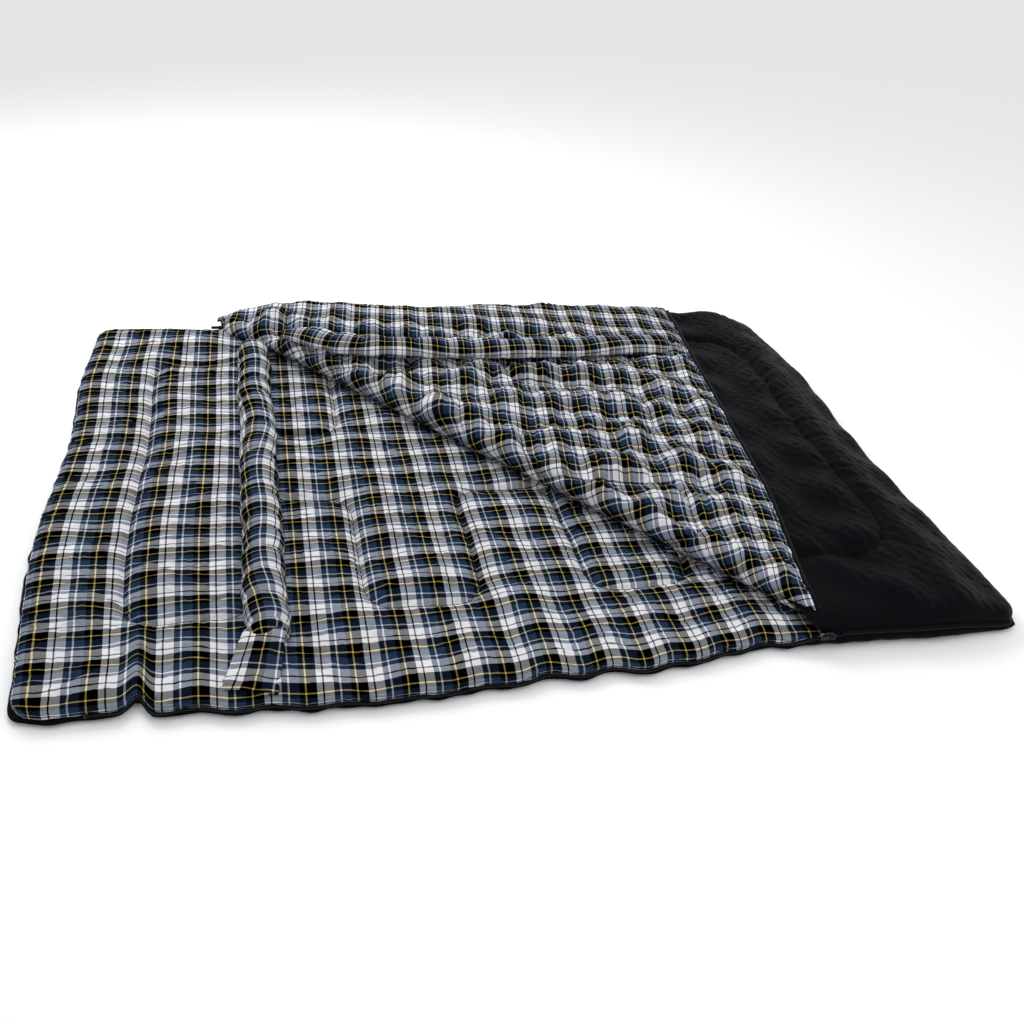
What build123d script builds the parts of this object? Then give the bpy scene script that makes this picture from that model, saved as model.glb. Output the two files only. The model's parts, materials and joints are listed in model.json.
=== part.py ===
from build123d import *
import os
from math import atan2, cos, degrees, hypot, radians, sin

# Double rectangular sleeping bag, in millimetres. The bag lies flat with +Z up, the sleeper's head towards -X and
# feet towards +X. The sleeper's right side is -Y and left side is +Y. The top layer is folded back along a slanting
# line, so its head half (the flap) lies upside down on its foot half, and the bottom layer's liner is open to view.

# Bag
bag_length = 2300.0
bag_width = 1750.0
corner_radius = 60.0
layer_thickness = 40.0
cloth_thickness = 2.0
edge_bevel = 9.0
pocket_height = 8.0       # air between the bottom layer and the top layer where they lie closed
flap_clearance = 2.0      # between the top layer and the flap that lies on it

# Fold line of the top layer, from the left long side to the right long side
fold_left_x = -763.0
fold_right_x = 634.0
fold_margin = 34.0        # the cut faces of the top layer and of the flap stand this far from the fold line

fold_end_gap = 45.0
fold_core_radius = 19.0
fold_web = [(-14.0, -13.0), (12.0, -42.0), (34.0, -60.0), (34.0, -23.0), (14.0, -13.0)]

# Flap: its zip side and its head side, as it lies folded back
flap_hem_start = (676.0, -850.0)
flap_hem_end = (864.0, 892.0)
flap_head_y = flap_hem_end[1]       # here the folded-back head margin turns down over the left side
droop_reach = 98.0
droop_drop = 76.0
droop_end_x = 560.0       # the drooping margin tapers to nothing towards the hem

# Neck rolls
roll_width = 92.0
roll_height = 46.0
roll_rounding = 21.0
bottom_roll_x = -656.0
bottom_roll_start_y = -772.0
bottom_roll_end_y = 590.0
tab_size = (104.0, 92.0, 5.0)
tab_centre = (-648.0, -818.0)
tab_turn = -12.0
flap_roll_point = (50.0, 378.0)
flap_roll_turn = -12.8
flap_roll_from = -330.0
flap_roll_to = 640.0

# Foot seam
binding_thickness = 2.5
binding_height = 60.0
binding_end_gap = 30.0

# Zips
zip_head_x = -985.0
zip_foot_x = 1110.0
tape_thickness = 1.0
tape_width = 14.0
coil_width = 5.0
coil_height = 4.5
zip_stand_off = 5.0       # from the side of the bag to the plane of the closed tapes
tape_overlap = 20.0
slider_length = 18.0
slider_width = 15.0
plate_thickness = 2.0
slider_clearance = 0.5
crown_width = 4.0
crown_span = 12.0
crown_thickness = 1.6
pull_bar_radius = 1.0
pull_width = 10.0
pull_length = 32.0
pull_thickness = 1.6
pull_window = 9.0
pull_arm = 2.0
pull_clearance = 0.4
stop_size = (5.0, 6.0, 5.5)

# Worked-out levels and lines
bottom_top_z = layer_thickness
top_z = bottom_top_z + pocket_height
top_top_z = top_z + layer_thickness
flap_z = top_top_z + flap_clearance
flap_top_z = flap_z + layer_thickness
hinge_z = flap_z + layer_thickness / 2
closed_coil_z = (layer_thickness / 2 + top_z + layer_thickness / 2) / 2
half_length = bag_length / 2
half_width = bag_width / 2
fold_length = hypot(fold_right_x - fold_left_x, bag_width)
fold_run = ((fold_right_x - fold_left_x) / fold_length, -bag_width / fold_length)
fold_side = (-fold_run[1], fold_run[0])
zip_plane_y = half_width + zip_stand_off
slider_x = {"right": fold_right_x + 4.0, "left": fold_left_x + 4.0}


def beside_fold(distance, y):
    """The point at this y on the line parallel to the fold and this far from it, on the foot side."""
    x = fold_left_x + (half_width - y) * fold_run[0] / -fold_run[1]
    return (x + distance / fold_side[0], y)


def slab(points, z_low, z_high, inset=0.0, bevel=0.0):
    """A flat slab over an outline, drawn in by inset, with its level edges bevelled."""
    face = make_face(Polyline(*points, close=True))
    if inset:
        face = offset(face, amount=-inset, kind=Kind.INTERSECTION)
    body = Pos(0, 0, z_low) * extrude(face, z_high - z_low, dir=(0, 0, 1))
    levels = body.edges().group_by(Axis.Z)
    return chamfer(levels[0] + levels[-1], bevel) if bevel else body


def quilted_layer(points, z_low, shell_is_below, bevel=0.0):
    """Shell, fill and liner of one layer. Shell and liner meet half way up its sides."""
    z_high = z_low + layer_thickness
    outer = slab(points, z_low, z_high, bevel=bevel)
    inner_bevel = bevel - 1.0 if bevel else 0.0
    fill = slab(points, z_low + cloth_thickness, z_high - cloth_thickness, cloth_thickness, inner_bevel)
    casing = outer - fill
    middle = Plane.XY.offset(z_low + layer_thickness / 2)
    lower = split(casing, bisect_by=middle, keep=Keep.BOTTOM)
    upper = split(casing, bisect_by=middle, keep=Keep.TOP)
    shell, liner = (lower, upper) if shell_is_below else (upper, lower)
    return shell, fill, liner


def rounded_corner(corner, towards_x, towards_y):
    """Points that cut a corner of an outline off roundly, in order from its x side to its y side."""
    centre = (corner[0] + towards_x * corner_radius, corner[1] + towards_y * corner_radius)
    angles = [0, 30, 60, 90]
    return [
        (
            centre[0] - towards_x * corner_radius * sin(radians(a)),
            centre[1] - towards_y * corner_radius * cos(radians(a)),
        )
        for a in angles
    ]


def bottom_layer():
    outline = rounded_corner((-half_length, -half_width), 1, 1)
    outline += rounded_corner((-half_length, half_width), 1, -1)[::-1]
    outline += rounded_corner((half_length, half_width), -1, -1)
    outline += rounded_corner((half_length, -half_width), -1, 1)[::-1]
    return quilted_layer(outline, 0.0, True, edge_bevel)


def top_layer():
    """The half of the top layer that still covers the foot end, shell up."""
    outline = [beside_fold(fold_margin, -half_width), beside_fold(fold_margin, half_width)]
    outline += rounded_corner((half_length, half_width), -1, -1)
    outline += rounded_corner((half_length, -half_width), -1, 1)[::-1]
    return quilted_layer(outline, top_z, False, edge_bevel)


def flap_layer():
    """The folded-back half, shell down and liner up. Its head margin droops over the bag's left side."""
    outline = [
        beside_fold(fold_margin, flap_hem_start[1]),
        beside_fold(fold_margin, flap_head_y),
        flap_hem_end,
        flap_hem_start,
    ]
    shell, fill, liner = quilted_layer(outline, flap_z, True)
    left_x = beside_fold(fold_margin, flap_head_y)[0]
    parts = []
    for low, high in ((0.0, cloth_thickness), (cloth_thickness, layer_thickness - cloth_thickness),
                      (layer_thickness - cloth_thickness, layer_thickness)):
        section = Polyline(
            (flap_head_y, flap_z + low),
            (flap_head_y, flap_z + high),
            (flap_head_y + droop_reach * high / layer_thickness * 0.5 + droop_reach * 0.5, flap_z + high - droop_drop),
            (flap_head_y + droop_reach * low / layer_thickness * 0.5 + droop_reach * 0.5, flap_z + low - droop_drop),
            close=True,
        )
        band = extrude(Plane.YZ * make_face(section), droop_end_x - left_x, dir=(1, 0, 0))
        parts.append(Pos(left_x, 0, 0) * band)
    taper = slab(
        [(left_x, flap_head_y), (left_x, flap_head_y + droop_reach + 1.0), (droop_end_x, flap_head_y + 1.0),
         (droop_end_x, flap_head_y)],
        flap_z - droop_drop - 1.0,
        flap_top_z + 1.0,
    )
    trimmed = [band & taper for band in parts]
    return shell + trimmed[0], fill + trimmed[1], liner + trimmed[2]


def turned_fold():
    """The stretch of the top layer that turns over: a core on the fold line and a web down to the top layer."""
    start = beside_fold(0.0, half_width - fold_end_gap)
    end = beside_fold(0.0, -half_width + fold_end_gap)
    across = Plane(origin=(start[0], start[1], hinge_z), x_dir=(*fold_side, 0), z_dir=(*fold_run, 0))
    length = hypot(end[0] - start[0], end[1] - start[1])
    section = make_face(Polyline(*fold_web, close=True)) + Circle(fold_core_radius)
    return extrude(across * section, length, dir=(*fold_run, 0))


def neck_roll(length):
    """Cover and fill of a stuffed tube that lies along +Y from the origin, flat side down."""
    def bar(inset):
        width = roll_width - 2 * inset
        body = Box(width, length - 2 * inset, roll_height - 2 * inset, align=(Align.CENTER, Align.MIN, Align.MIN))
        rounded = fillet(body.edges().filter_by(Axis.Y), roll_rounding - inset)
        return Pos(0, inset, inset) * rounded
    fill = bar(cloth_thickness)
    return bar(0.0) - fill, fill


def foot_binding():
    height_middle = (layer_thickness / 2 + top_z + layer_thickness / 2) / 2
    width = bag_width - 2 * (corner_radius + binding_end_gap)
    strip = Box(binding_thickness, width, binding_height, align=(Align.MIN, Align.CENTER, Align.CENTER))
    return Pos(half_length, 0, height_middle) * strip


def zip_strip(start, end, inner, outer, z_low, z_high):
    """A straight strip from start to end (x values) between two distances from the bag's middle plane, on -Y."""
    return Pos((start + end) / 2, -(inner + outer) / 2, (z_low + z_high) / 2) * Box(
        end - start, outer - inner, z_high - z_low
    )


def closed_chain(joined_x):
    """Tapes and meshed coil from where the slider stands to the foot."""
    half_tape = tape_thickness / 2
    low_tape = zip_strip(joined_x, zip_foot_x, zip_plane_y - half_tape, zip_plane_y + half_tape,
                         layer_thickness / 2, closed_coil_z - 0.5)
    high_tape = zip_strip(joined_x, zip_foot_x, zip_plane_y - half_tape, zip_plane_y + half_tape,
                          closed_coil_z + 0.5, top_z + layer_thickness / 2)
    coil = zip_strip(joined_x, zip_foot_x, zip_plane_y + half_tape, zip_plane_y + half_tape + coil_height,
                     closed_coil_z - coil_width, closed_coil_z + coil_width)
    return low_tape, high_tape, coil


def sewn_edge(start, end, z_middle):
    """The short level strip that holds a vertical tape to the side of its layer."""
    return zip_strip(start, end, half_width, zip_plane_y + tape_thickness / 2,
                     z_middle - tape_thickness, z_middle)


def open_chain(start, end, z_middle):
    """Tape and coil of an open half, level with the middle of its layer."""
    tape = zip_strip(start, end, half_width, half_width + tape_width, z_middle - tape_thickness, z_middle)
    coil = zip_strip(start, end, half_width + tape_width - coil_width, half_width + tape_width,
                     z_middle, z_middle + coil_height)
    return tape, coil


def slider():
    """Slider body with its travel along X and its face towards -Y, centred on the coil."""
    coil_face = tape_thickness / 2 + coil_height + slider_clearance
    lip_reach = coil_height - 1.0
    plate = Pos(0, -coil_face - plate_thickness / 2, 0) * Box(slider_length, plate_thickness, slider_width)
    plate = fillet(plate.edges().filter_by(Axis.Y), 4.0)
    body = plate
    for side in (-1, 1):
        lip_z = side * (slider_width / 2 - 1.0)
        lip = Box(slider_length - 8.0, lip_reach + 0.5, 1.6)
        body += Pos(0, -coil_face + lip_reach / 2 - 0.25, lip_z) * lip
    plate_face = coil_face + plate_thickness
    room = 2 * pull_bar_radius + 2 * pull_clearance
    outer_face = plate_face + room + crown_thickness
    arch = Pos(0, -(plate_face + outer_face) / 2, 0) * Box(crown_span, outer_face - plate_face, crown_width)
    arch = fillet(arch.edges().filter_by(Axis.Z).group_by(Axis.Y)[0], 2.0)
    hollow = Pos(0, -plate_face - room / 2, 0) * Box(crown_span - 2 * crown_thickness, room, crown_width + 2.0)
    return body + (arch - hollow), plate_face + room / 2


def pull(bar_y):
    """Pull tab that lies along -X from its bar, which turns about Z inside the slider's crown."""
    bar = Pos(0, -bar_y, 0) * Cylinder(pull_bar_radius, pull_width)
    body = bar
    for side in (-1, 1):
        arm_z = side * (pull_width - pull_arm) / 2
        body += Pos(-pull_window / 2, -bar_y, arm_z) * Box(pull_window, pull_thickness, pull_arm)
    grip_length = pull_length - pull_window
    grip = Pos(-pull_window - grip_length / 2, -bar_y, 0) * Box(grip_length, pull_thickness, pull_width)
    grip = fillet(grip.edges().filter_by(Axis.Y), 3.0)
    body += grip
    body += Pos(-pull_window - 1.5, -bar_y, 0) * Box(3.0, pull_thickness, pull_width)
    return body


def top_stop(x, z_middle):
    """Metal crimp at the head end of an open half."""
    middle_y = half_width + tape_width - coil_width / 2
    return Pos(x - stop_size[0] / 2, -middle_y, z_middle + coil_height / 2) * Box(
        stop_size[0], stop_size[1], coil_height
    )


def bottom_stop():
    """Metal crimp over the foot end of the meshed coil."""
    middle_y = zip_plane_y + tape_thickness / 2 + coil_height / 2
    return Pos(zip_foot_x + stop_size[0] / 2, -middle_y, closed_coil_z) * Box(
        stop_size[0], stop_size[1], 2 * coil_width
    )


def laid_along(shape, start, end, z_shift):
    """Turns what was made along the right side (x from 0, at -Y) to run along a line from start to end."""
    turn = degrees(atan2(end[1] - start[1], end[0] - start[0]))
    return Pos(start[0], start[1], z_shift) * Rot(0, 0, turn) * Pos(0, half_width, 0) * shape


def mirrored(shape):
    return mirror(shape, about=Plane.XZ)


def build_nodes():
    nodes = {}
    nodes["bottom_shell"], nodes["bottom_fill"], nodes["bottom_liner"] = bottom_layer()
    nodes["top_shell"], nodes["top_fill"], nodes["top_liner"] = top_layer()
    nodes["flap_shell"], nodes["flap_fill"], nodes["flap_liner"] = flap_layer()
    nodes["top_fold"] = turned_fold() - nodes["top_shell"] - nodes["top_fill"] - nodes["top_liner"]
    nodes["foot_seam_binding"] = foot_binding()

    cover, fill = neck_roll(bottom_roll_end_y - bottom_roll_start_y)
    lay = Pos(bottom_roll_x, bottom_roll_start_y, bottom_top_z)
    nodes["bottom_neck_roll_cover"] = lay * cover
    nodes["bottom_neck_roll_fill"] = lay * fill
    tab = fillet(Box(*tab_size).edges().filter_by(Axis.Z), 12.0)
    tab_drop = bottom_top_z + tab_size[2] / 2
    tab = Pos(tab_centre[0], tab_centre[1], tab_drop) * Rot(0, 0, tab_turn) * tab
    nodes["bottom_neck_roll_tab"] = tab - nodes["bottom_neck_roll_cover"] - nodes["bottom_neck_roll_fill"]

    cover, fill = neck_roll(flap_roll_to - flap_roll_from)
    lay = Pos(flap_roll_point[0], flap_roll_point[1], flap_top_z) * Rot(0, 0, flap_roll_turn - 90.0)
    lay *= Pos(0, flap_roll_from, 0)
    nodes["flap_neck_roll_cover"] = lay * cover
    nodes["flap_neck_roll_fill"] = lay * fill

    slider_body, bar_y = slider()
    pull_tab = pull(bar_y)
    layer_middle = layer_thickness / 2
    top_stops = []
    for side, joined_x in slider_x.items():
        place = mirrored if side == "left" else (lambda shape: shape)
        low_tape, high_tape, coil = closed_chain(joined_x)
        open_tape, open_coil = open_chain(zip_head_x, joined_x, layer_middle)
        holder = sewn_edge(joined_x, zip_foot_x, layer_middle + tape_thickness / 2)
        low_tape += holder
        low_tape += zip_strip(joined_x - tape_overlap, joined_x, half_width, half_width + tape_width,
                              layer_middle - tape_thickness, layer_middle)
        high_tape += sewn_edge(joined_x, zip_foot_x, top_z + layer_middle + tape_thickness / 2)
        nodes[side + "_zip_tape_bottom"] = place(low_tape + open_tape)
        nodes[side + "_zip_tape_top"] = place(high_tape)
        nodes[side + "_zip_coil_closed"] = place(coil)
        nodes[side + "_zip_coil_bottom"] = place(open_coil)
        at_slider = Pos(joined_x - slider_length / 2 - 1.0, -zip_plane_y, closed_coil_z)
        nodes[side + "_zip_slider"] = place(at_slider * slider_body)
        nodes[side + "_zip_pull"] = place(at_slider * pull_tab)
        top_stops.append(place(top_stop(zip_head_x, layer_middle)))
    nodes["zip_top_stops_bottom"] = Compound(top_stops)
    nodes["zip_bottom_stops"] = Compound([bottom_stop(), mirrored(bottom_stop())])

    hem_length = hypot(flap_hem_end[0] - flap_hem_start[0], flap_hem_end[1] - flap_hem_start[1])
    tape, coil = open_chain(60.0, hem_length - 60.0, layer_middle)
    nodes["right_zip_tape_flap"] = laid_along(tape, flap_hem_start, flap_hem_end, flap_z)
    nodes["right_zip_coil_flap"] = laid_along(coil, flap_hem_start, flap_hem_end, flap_z)
    return nodes


nodes = build_nodes()
boxes = [shape.bounding_box() for shape in nodes.values()]
middle_x = (min(box.min.X for box in boxes) + max(box.max.X for box in boxes)) / 2
middle_y = (min(box.min.Y for box in boxes) + max(box.max.Y for box in boxes)) / 2
to_origin = Pos(-middle_x, -middle_y, 0)
os.makedirs("parts", exist_ok=True)
for name, shape in nodes.items():
    export_step(to_origin * shape, "parts/" + name + ".step")
print("origin moved by", to_origin.position)
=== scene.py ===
import json
import math

import bpy
import numpy as np
from mathutils import Matrix, Vector, kdtree


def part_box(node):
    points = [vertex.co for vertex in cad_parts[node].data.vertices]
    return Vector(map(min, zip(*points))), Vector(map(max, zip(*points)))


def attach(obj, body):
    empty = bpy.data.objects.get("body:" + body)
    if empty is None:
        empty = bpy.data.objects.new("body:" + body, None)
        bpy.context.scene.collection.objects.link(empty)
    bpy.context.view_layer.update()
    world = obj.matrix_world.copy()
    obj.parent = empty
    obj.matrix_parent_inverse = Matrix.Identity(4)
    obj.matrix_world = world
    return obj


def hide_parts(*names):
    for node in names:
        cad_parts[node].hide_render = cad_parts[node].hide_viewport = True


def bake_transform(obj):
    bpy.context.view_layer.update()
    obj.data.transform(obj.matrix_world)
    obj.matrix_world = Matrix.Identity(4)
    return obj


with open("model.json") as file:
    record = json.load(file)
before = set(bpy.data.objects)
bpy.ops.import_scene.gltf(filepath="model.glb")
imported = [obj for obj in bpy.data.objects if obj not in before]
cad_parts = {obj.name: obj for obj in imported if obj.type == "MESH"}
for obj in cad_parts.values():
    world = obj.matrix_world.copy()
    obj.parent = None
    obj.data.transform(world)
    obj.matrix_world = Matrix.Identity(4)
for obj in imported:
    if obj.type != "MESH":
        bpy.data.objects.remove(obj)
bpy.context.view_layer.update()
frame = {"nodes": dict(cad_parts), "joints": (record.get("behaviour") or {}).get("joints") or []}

# ---------------------------------------------------------------------------------------------------------
# Driving values, in metres. Cloth is laid out in "cut" coordinates: where each point lies when the bag is
# closed and flat, X towards the feet and Y towards the sleeper's left, from the middle of the bag.
# ---------------------------------------------------------------------------------------------------------
liner_low, liner_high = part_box("bottom_liner")
CENTRE = np.array([(liner_low.x + liner_high.x) / 2, (liner_low.y + liner_high.y) / 2, 0.0])
HALF_LENGTH = (liner_high.x - liner_low.x) / 2
HALF_WIDTH = (liner_high.y - liner_low.y) / 2
BOTTOM_TOP = liner_high.z
TOP_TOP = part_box("top_shell")[1].z
FLAP_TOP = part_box("flap_liner")[1].z
HEM_Z = 0.017

FOLD = next(joint for joint in frame["joints"] if joint["name"] == "flap_fold")
FOLD_POINT = np.array(FOLD["pos_m"]) - CENTRE
FOLD_RUN = np.array(FOLD["axis"][:2]) / np.hypot(*FOLD["axis"][:2])
FOLD_SIDE = np.array([-FOLD_RUN[1], FOLD_RUN[0]])

GRID = 0.0075
cell = GRID

# Quilting: a closed track round the head panel, and two rows of square waves down to the foot
TRACK_HEAD_X = -0.926
TRACK_COLLAR_X = -0.665
TRACK_Y = 0.612
ROW_INNER_Y = 0.166
WAVE_START_X = -0.585
WAVE_X = [-0.420, -0.145, 0.114, 0.370, 0.626, 0.882]
STITCH_ROUNDING = 0.075
FOOT_TRACK_X = (0.760, 0.940)

# Plaid: the sett's repeat along and across the bag, and its bands as (start, colour) in a share of a repeat
PLAID_REPEAT = (0.1035, 0.0905)
PLAID_START = (-0.2600, -0.4680)
YELLOW = (0.82, 0.72, 0.39)
BLACK = (0.016, 0.016, 0.018)
WHITE = (0.845, 0.84, 0.85)
BLUE = (0.145, 0.200, 0.275)
BANDS = [
    (0.000, YELLOW), (0.030, BLACK), (0.228, WHITE), (0.336, BLACK), (0.372, WHITE), (0.555, BLUE),
    (0.670, WHITE), (0.706, BLUE), (0.895, BLACK),
]


# ---------------------------------------------------------------------------------------------------------
# Materials
# ---------------------------------------------------------------------------------------------------------
def new_material(name):
    material = bpy.data.materials.new(name)
    material.use_nodes = True
    nodes = material.node_tree.nodes
    links = material.node_tree.links
    return material, nodes, links, nodes["Principled BSDF"]


def math_node(nodes, links, operation, first, second=None):
    node = nodes.new("ShaderNodeMath")
    node.operation = operation
    for socket, value in zip(node.inputs, (first, second)):
        if value is None:
            continue
        if isinstance(value, (int, float)):
            socket.default_value = value
        else:
            links.new(value, socket)
    return node.outputs[0]


def noise_node(nodes, links, place, scale, detail):
    noise = nodes.new("ShaderNodeTexNoise")
    noise.inputs["Scale"].default_value = scale
    noise.inputs["Detail"].default_value = detail
    links.new(place, noise.inputs["Vector"])
    return noise


def bump_node(nodes, links, height, strength, distance):
    bump = nodes.new("ShaderNodeBump")
    bump.inputs["Strength"].default_value = strength
    bump.inputs["Distance"].default_value = distance
    links.new(height, bump.inputs["Height"])
    return bump


def band_ramp(nodes, links, share):
    """The sett's colours along one direction, from the share of a repeat."""
    ramp = nodes.new("ShaderNodeValToRGB")
    ramp.color_ramp.interpolation = "CONSTANT"
    elements = ramp.color_ramp.elements
    elements[0].position, elements[0].color = BANDS[0][0], (*BANDS[0][1], 1)
    elements[1].position, elements[1].color = BANDS[1][0], (*BANDS[1][1], 1)
    for start, colour in BANDS[2:]:
        element = elements.new(start)
        element.color = (*colour, 1)
    links.new(share, ramp.inputs[0])
    return ramp.outputs[0]


def plaid_flannel():
    """Yarn-dyed plaid twill: warp and weft bands mixed thread by thread, brushed fuzz, thread relief."""
    material, nodes, links, shader = new_material("plaid_flannel")
    place = nodes.new("ShaderNodeUVMap")
    place.uv_map = "cut"
    split = nodes.new("ShaderNodeSeparateXYZ")
    links.new(place.outputs[0], split.inputs[0])
    along, across = split.outputs[0], split.outputs[1]
    shares = []
    for direction, repeat, first in zip((along, across), PLAID_REPEAT, PLAID_START):
        from_first = math_node(nodes, links, "SUBTRACT", direction, first - 100 * repeat)
        repeats = math_node(nodes, links, "DIVIDE", from_first, repeat)
        shares.append(math_node(nodes, links, "FRACT", repeats))
    share_x, share_y = shares
    weft = band_ramp(nodes, links, share_x)
    warp = band_ramp(nodes, links, share_y)
    thread = 2 * math.pi / 0.0016
    diagonal = math_node(nodes, links, "MULTIPLY", math_node(nodes, links, "ADD", along, across), thread)
    twill = math_node(nodes, links, "SINE", diagonal)
    mix_share = math_node(nodes, links, "MULTIPLY", twill, 0.16)
    mix_share = math_node(nodes, links, "ADD", mix_share, 0.5)
    mix = nodes.new("ShaderNodeMix")
    mix.data_type = "RGBA"
    links.new(mix_share, mix.inputs["Factor"])
    links.new(weft, mix.inputs[6])
    links.new(warp, mix.inputs[7])
    cut = nodes.new("ShaderNodeCombineXYZ")
    links.new(along, cut.inputs[0])
    links.new(across, cut.inputs[1])
    fade = noise_node(nodes, links, cut.outputs[0], 14.0, 6.0)
    fade_range = nodes.new("ShaderNodeMapRange")
    fade_range.inputs["To Min"].default_value = 0.86
    fade_range.inputs["To Max"].default_value = 1.08
    links.new(fade.outputs[0], fade_range.inputs[0])
    faded = nodes.new("ShaderNodeMix")
    faded.data_type = "RGBA"
    faded.blend_type = "MULTIPLY"
    faded.inputs["Factor"].default_value = 1.0
    links.new(mix.outputs[2], faded.inputs[6])
    links.new(fade_range.outputs[0], faded.inputs[7])
    gamma = nodes.new("ShaderNodeGamma")
    gamma.inputs[1].default_value = 2.2
    links.new(faded.outputs[2], gamma.inputs[0])
    links.new(gamma.outputs[0], shader.inputs["Base Color"])
    fuzz = noise_node(nodes, links, cut.outputs[0], 900.0, 3.0)
    threads = math_node(nodes, links, "MULTIPLY", twill, 0.4)
    relief = math_node(nodes, links, "ADD", threads, fuzz.outputs[0])
    crease_place = nodes.new("ShaderNodeMapping")
    crease_place.inputs["Scale"].default_value = (26.0, 75.0, 1.0)
    links.new(cut.outputs[0], crease_place.inputs[0])
    crease = noise_node(nodes, links, crease_place.outputs[0], 1.0, 4.0)
    crease.inputs["Roughness"].default_value = 0.65
    crease_bump = bump_node(nodes, links, crease.outputs[0], 0.55, 0.010)
    bump = bump_node(nodes, links, relief, 0.30, 0.0006)
    links.new(crease_bump.outputs[0], bump.inputs["Normal"])
    links.new(bump.outputs[0], shader.inputs["Normal"])
    shader.inputs["Roughness"].default_value = 0.92
    shader.inputs["Specular IOR Level"].default_value = 0.0
    return material


def shell_polyester():
    """Black plain-weave polyester with a dull sheen."""
    material, nodes, links, shader = new_material("shell_polyester")
    place = nodes.new("ShaderNodeUVMap")
    place.uv_map = "cut"
    cloud = noise_node(nodes, links, place.outputs[0], 9.0, 5.0)
    ramp = nodes.new("ShaderNodeValToRGB")
    ramp.color_ramp.elements[0].color = (0.0010, 0.0012, 0.0018, 1)
    ramp.color_ramp.elements[1].color = (0.0022, 0.0026, 0.0038, 1)
    links.new(cloud.outputs[0], ramp.inputs[0])
    links.new(ramp.outputs[0], shader.inputs["Base Color"])
    split = nodes.new("ShaderNodeSeparateXYZ")
    links.new(place.outputs[0], split.inputs[0])
    pitch = 2 * math.pi / 0.0009
    warp = math_node(nodes, links, "SINE", math_node(nodes, links, "MULTIPLY", split.outputs[0], pitch))
    weft = math_node(nodes, links, "SINE", math_node(nodes, links, "MULTIPLY", split.outputs[1], pitch))
    weave = math_node(nodes, links, "MULTIPLY", warp, weft)
    crumple = noise_node(nodes, links, place.outputs[0], 120.0, 3.0)
    threads = math_node(nodes, links, "MULTIPLY", weave, 0.12)
    relief = math_node(nodes, links, "ADD", threads, crumple.outputs[0])
    bump = bump_node(nodes, links, relief, 0.30, 0.0012)
    links.new(bump.outputs[0], shader.inputs["Normal"])
    shader.inputs["Roughness"].default_value = 0.48
    shader.inputs["Specular IOR Level"].default_value = 0.026
    return material


def plain_material(name, colour, roughness, metallic=0.0, grain_scale=400.0, grain=0.25):
    """Small trim: one colour with a fine procedural grain in tone and relief."""
    material, nodes, links, shader = new_material(name)
    coords = nodes.new("ShaderNodeTexCoord")
    noise = noise_node(nodes, links, coords.outputs["Object"], grain_scale, 4.0)
    ramp = nodes.new("ShaderNodeValToRGB")
    ramp.color_ramp.elements[0].color = (*[c * 0.9 for c in colour], 1)
    ramp.color_ramp.elements[1].color = (*[min(0.95, c * 1.1) for c in colour], 1)
    links.new(noise.outputs[0], ramp.inputs[0])
    links.new(ramp.outputs[0], shader.inputs["Base Color"])
    bump = bump_node(nodes, links, noise.outputs[0], grain, 0.0003)
    links.new(bump.outputs[0], shader.inputs["Normal"])
    shader.inputs["Roughness"].default_value = roughness
    shader.inputs["Metallic"].default_value = metallic
    shader.inputs["Specular IOR Level"].default_value = 0.08
    return material


FLANNEL = plaid_flannel()
POLYESTER = shell_polyester()
TAPE = plain_material("zip_tape_weave", (0.0030, 0.0032, 0.0042), 0.85, grain_scale=900.0, grain=0.5)
COIL = plain_material("zip_coil_nylon", (0.005, 0.005, 0.006), 0.40)
METAL = plain_material("zip_painted_metal", (0.030, 0.030, 0.033), 0.38, metallic=0.7, grain=0.1)
THREAD = plain_material("quilting_thread", (0.010, 0.012, 0.018), 0.8)


# ---------------------------------------------------------------------------------------------------------
# Quilting lines
# ---------------------------------------------------------------------------------------------------------
def rounded_path(corners, radius, step=0.006, closed=False):
    """Points every step along a polyline whose corners are rounded."""
    corners = [np.array(c, float) for c in corners]
    count = len(corners)
    points = []
    for i, corner in enumerate(corners):
        if not closed and i in (0, count - 1):
            points.append(corner)
            continue
        before, after = corners[i - 1], corners[(i + 1) % count]
        to_before, to_after = before - corner, after - corner
        reach = min(radius, np.linalg.norm(to_before) / 2, np.linalg.norm(to_after) / 2)
        start = corner + to_before / np.linalg.norm(to_before) * reach
        end = corner + to_after / np.linalg.norm(to_after) * reach
        for t in np.linspace(0, 1, 7):
            points.append((1 - t) ** 2 * start + 2 * t * (1 - t) * corner + t ** 2 * end)
    if closed:
        points.append(points[0])
    points = np.array(points)
    lengths = np.concatenate([[0], np.cumsum(np.linalg.norm(np.diff(points, axis=0), axis=1))])
    places = np.arange(0, lengths[-1], step)
    return np.stack([np.interp(places, lengths, points[:, k]) for k in (0, 1)], axis=1)


def head_track():
    corners = [
        (TRACK_HEAD_X, -TRACK_Y),
        (TRACK_COLLAR_X, -TRACK_Y),
        (TRACK_COLLAR_X, TRACK_Y),
        (TRACK_HEAD_X, TRACK_Y),
    ]
    return rounded_path(corners, STITCH_ROUNDING, closed=True)


def wave_row(side):
    """A square wave down one side of the bag, from the neck roll to the foot."""
    corners = [(WAVE_START_X, side * ROW_INNER_Y)]
    inner = True
    for x in WAVE_X:
        corners.append((x, side * (ROW_INNER_Y if inner else TRACK_Y)))
        inner = not inner
        corners.append((x, side * (ROW_INNER_Y if inner else TRACK_Y)))
    return rounded_path(corners, STITCH_ROUNDING)


def foot_track():
    """The shell's line at the foot: the outer edges of both rows joined across the foot."""
    start_x, end_x = FOOT_TRACK_X
    corners = [(start_x - 0.5, TRACK_Y), (end_x, TRACK_Y), (end_x, -TRACK_Y), (start_x - 0.5, -TRACK_Y)]
    return rounded_path(corners, STITCH_ROUNDING * 2.4)


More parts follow.
